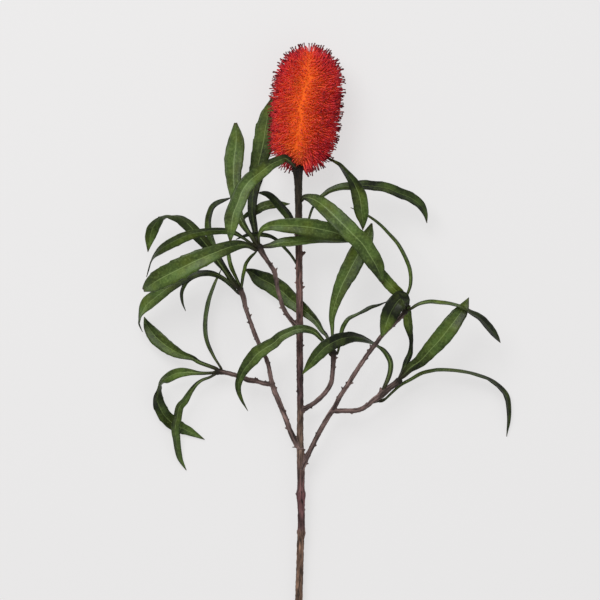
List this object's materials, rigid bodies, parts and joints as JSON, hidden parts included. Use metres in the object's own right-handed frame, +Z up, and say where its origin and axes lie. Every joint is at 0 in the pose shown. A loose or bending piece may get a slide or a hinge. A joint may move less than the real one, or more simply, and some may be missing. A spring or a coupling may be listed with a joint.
{
  "type": "banksia flower stem",
  "caption": "Cut banksia stem lying flat: a cylindrical orange-red flower spike at the end of a brown woody stem, with side twigs that carry whorls of long toothed green leaves",
  "frame": {"origin": "on the surface, under the middle of the whole spray's box", "axes": "+Y runs along the stem from its cut end to the flower, +Z is up from the surface, +X is to the right seen from above with the flower at the top"},
  "size_m": [0.3749, 0.599, 0.0845],
  "materials": {
    "bark": "matt brown bark, darker under the flower and redder lower down",
    "flower": "dense fine styles, bright orange at their base and crimson at their tips",
    "leaf": "satin mid green with a paler midrib, darker underneath"
  },
  "bodies": {
    "root": {"woody_stem": "bark", "flower_spike": "flower", "leaf_upper_left_1": "leaf", "leaf_upper_left_2": "leaf", "leaf_upper_left_3": "leaf", "leaf_upper_left_4": "leaf", "leaf_upper_left_5": "leaf", "leaf_upper_left_6": "leaf", "leaf_upper_left_7": "leaf", "leaf_left_1": "leaf", "leaf_left_2": "leaf", "leaf_left_3": "leaf", "leaf_left_4": "leaf", "leaf_left_5": "leaf", "leaf_left_6": "leaf", "leaf_lower_left_1": "leaf", "leaf_lower_left_2": "leaf", "leaf_lower_left_3": "leaf", "leaf_lower_left_4": "leaf", "leaf_inner_right_1": "leaf", "leaf_inner_right_2": "leaf", "leaf_inner_right_3": "leaf", "leaf_inner_right_4": "leaf", "leaf_right_1": "leaf", "leaf_right_2": "leaf", "leaf_right_3": "leaf", "leaf_right_4": "leaf", "leaf_lower_right_1": "leaf", "leaf_lower_right_2": "leaf", "leaf_lower_right_3": "leaf", "leaf_lower_right_4": "leaf", "leaf_stem_1": "leaf", "leaf_stem_2": "leaf", "leaf_stem_3": "leaf", "leaf_stem_4": "leaf", "leaf_stem_5": "leaf", "leaf_stem_6": "leaf"}
  },
  "joints": []
}
